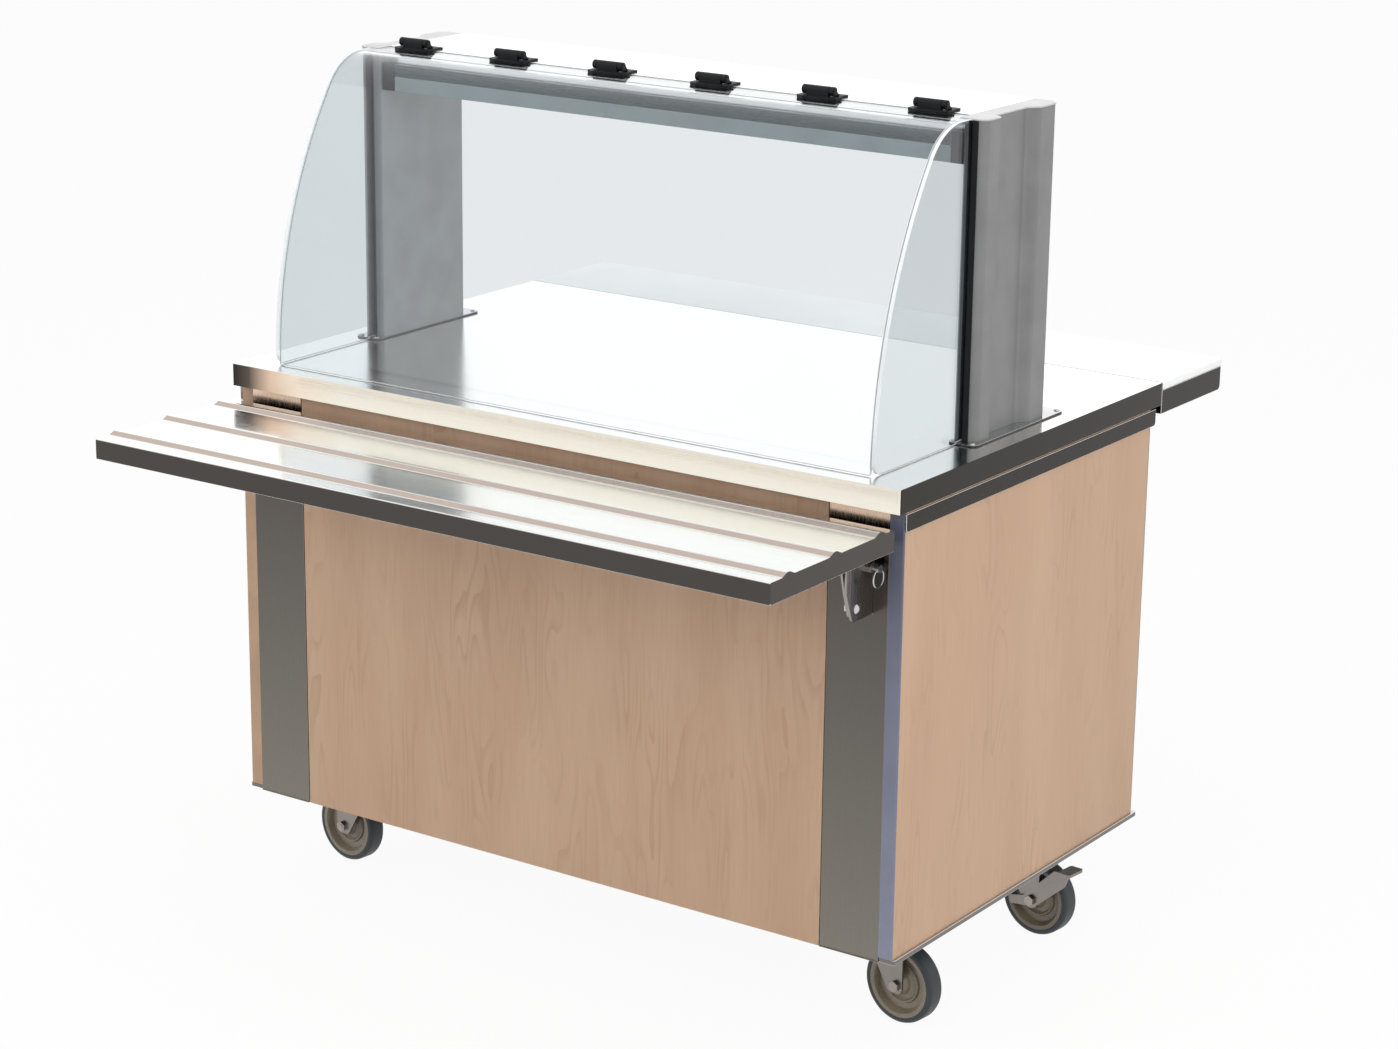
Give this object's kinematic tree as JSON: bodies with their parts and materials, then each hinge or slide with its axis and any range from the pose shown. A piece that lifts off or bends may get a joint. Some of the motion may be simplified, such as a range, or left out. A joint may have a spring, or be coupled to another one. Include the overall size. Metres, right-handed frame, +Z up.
{
  "type": "mobile salad bar counter",
  "caption": "Mobile serving counter with a hinged curved glass guard, folding tray slide, work board, open-backed cabinet and swivel casters, two of them braked.",
  "frame": {"origin": "on the floor, under the middle of the part's overall outline", "axes": "+Z up; -Y faces the customer, who stands at the tray slide; X runs along the counter, +X to the right of a customer facing it"},
  "size_m": [1.272, 1.344, 1.409],
  "materials": {
    "steel_sheet": "brushed stainless sheet",
    "steel_strip": "dull brushed stainless sheet",
    "steel_bright": "polished stainless",
    "steel_frame": "mill finish tube and angle",
    "maple": "matt maple-coloured laminate",
    "maple_edge": "matt maple-coloured edge band",
    "grey_edge": "satin lavender-grey edge band",
    "board": "matt white polyethylene",
    "column": "satin grey",
    "column_cap": "light grey",
    "gasket": "matt black",
    "canopy": "brushed stainless sheet",
    "beam": "brushed stainless tube",
    "shoe": "black",
    "housing": "light grey",
    "lens": "frosted white",
    "glass": "clear, faint blue-green",
    "clamp": "satin black",
    "fastener": "bright plated steel",
    "zinc": "bright zinc plate",
    "hub": "taupe moulded plastic",
    "tyre": "grey rubber"
  },
  "bodies": {
    "cart": {"counter_top": "steel_sheet", "top_frame": "steel_frame", "front_panel": "maple", "front_strip_left": "steel_strip", "front_strip_right": "steel_strip", "end_panel_left": "maple", "end_panel_right": "maple", "edge_trims_left": "maple_edge", "edge_trims_right": "grey_edge", "end_top_rails": "steel_sheet", "base_pan": "steel_sheet", "caster_strips": "steel_frame", "middle_shelf": "steel_sheet", "shelf_clips": "steel_frame", "tray_brackets": "steel_strip", "tray_pivot_bolts": "fastener", "work_board": "board", "board_brackets": "steel_sheet", "column_left": "column", "column_right": "column", "column_gaskets": "gasket", "column_caps": "column_cap", "foot_plates": "steel_bright", "foot_screws": "fastener", "canopy_shelf": "canopy", "canopy_beam": "beam", "beam_shoes": "shoe", "light_housing": "housing", "light_lens": "lens", "end_glass_left": "glass", "end_glass_right": "glass", "hinge_leaves": "clamp", "hinge_pins": "clamp", "caster_mounts": "zinc", "caster_bolts": "fastener"},
    "tray": {"tray_slide": "steel_sheet", "tray_arms": "steel_strip"},
    "lock_pin_left": {"lock_pin_left": "fastener"},
    "lock_pin_right": {"lock_pin_right": "fastener"},
    "glass_guard": {"front_glass": "glass", "clamp_upper_jaws": "clamp", "clamp_lower_jaws": "clamp"},
    "caster_front_left": {"fork_front_left": "zinc", "axle_bolt_front_left": "fastener"},
    "wheel_front_left": {"wheel_hub_front_left": "hub", "tyre_front_left": "tyre"},
    "caster_front_right": {"fork_front_right": "zinc", "axle_bolt_front_right": "fastener"},
    "wheel_front_right": {"wheel_hub_front_right": "hub", "tyre_front_right": "tyre"},
    "caster_rear_left": {"fork_rear_left": "zinc", "axle_bolt_rear_left": "fastener"},
    "wheel_rear_left": {"wheel_hub_rear_left": "hub", "tyre_rear_left": "tyre"},
    "brake_rear_left": {"brake_lever_rear_left": "zinc"},
    "caster_rear_right": {"fork_rear_right": "zinc", "axle_bolt_rear_right": "fastener"},
    "wheel_rear_right": {"wheel_hub_rear_right": "hub", "tyre_rear_right": "tyre"},
    "brake_rear_right": {"brake_lever_rear_right": "zinc"}
  },
  "joints": [
    {"name": "tray_fold", "type": "hinge", "parent": "cart", "child": "tray", "pos_m": [0, -0.374, 0.722], "axis": [1, 0, 0], "range_deg": [0, 90]},
    {"name": "lock_pin_left_slide", "type": "slide", "parent": "cart", "child": "lock_pin_left", "axis": [1, 0, 0], "range_m": [0, 0.006]},
    {"name": "lock_pin_right_slide", "type": "slide", "parent": "cart", "child": "lock_pin_right", "axis": [-1, 0, 0], "range_m": [0, 0.006]},
    {"name": "glass_lift", "type": "hinge", "parent": "cart", "child": "glass_guard", "pos_m": [0, -0.053, 1.402], "axis": [-1, 0, 0], "range_deg": [0, 100]},
    {"name": "swivel_front_left", "type": "hinge", "parent": "cart", "child": "caster_front_left", "pos_m": [-0.517, -0.166, 0.1516], "axis": [0, 0, 1], "continuous": true},
    {"name": "roll_front_left", "type": "hinge", "parent": "caster_front_left", "child": "wheel_front_left", "pos_m": [-0.55877, -0.16161, 0.0635], "axis": [-0.1045, -0.9945, 0], "continuous": true},
    {"name": "swivel_front_right", "type": "hinge", "parent": "cart", "child": "caster_front_right", "pos_m": [0.517, -0.166, 0.1516], "axis": [0, 0, 1], "continuous": true},
    {"name": "roll_front_right", "type": "hinge", "parent": "caster_front_right", "child": "wheel_front_right", "pos_m": [0.55877, -0.17039, 0.0635], "axis": [0.1045, 0.9945, 0], "continuous": true},
    {"name": "swivel_rear_left", "type": "hinge", "parent": "cart", "child": "caster_rear_left", "pos_m": [-0.517, 0.261, 0.1516], "axis": [0, 0, 1], "continuous": true},
    {"name": "roll_rear_left", "type": "hinge", "parent": "caster_rear_left", "child": "wheel_rear_left", "pos_m": [-0.55877, 0.26539, 0.0635], "axis": [-0.1045, -0.9945, 0], "continuous": true},
    {"name": "brake_rear_left", "type": "hinge", "parent": "caster_rear_left", "child": "brake_rear_left", "pos_m": [-0.55877, 0.26539, 0.0635], "axis": [-0.1045, -0.9945, 0], "range_deg": [0, 12]},
    {"name": "swivel_rear_right", "type": "hinge", "parent": "cart", "child": "caster_rear_right", "pos_m": [0.517, 0.261, 0.1516], "axis": [0, 0, 1], "continuous": true},
    {"name": "roll_rear_right", "type": "hinge", "parent": "caster_rear_right", "child": "wheel_rear_right", "pos_m": [0.55877, 0.25661, 0.0635], "axis": [0.1045, 0.9945, 0], "continuous": true},
    {"name": "brake_rear_right", "type": "hinge", "parent": "caster_rear_right", "child": "brake_rear_right", "pos_m": [0.55877, 0.25661, 0.0635], "axis": [0.1045, 0.9945, 0], "range_deg": [0, 12]}
  ]
}
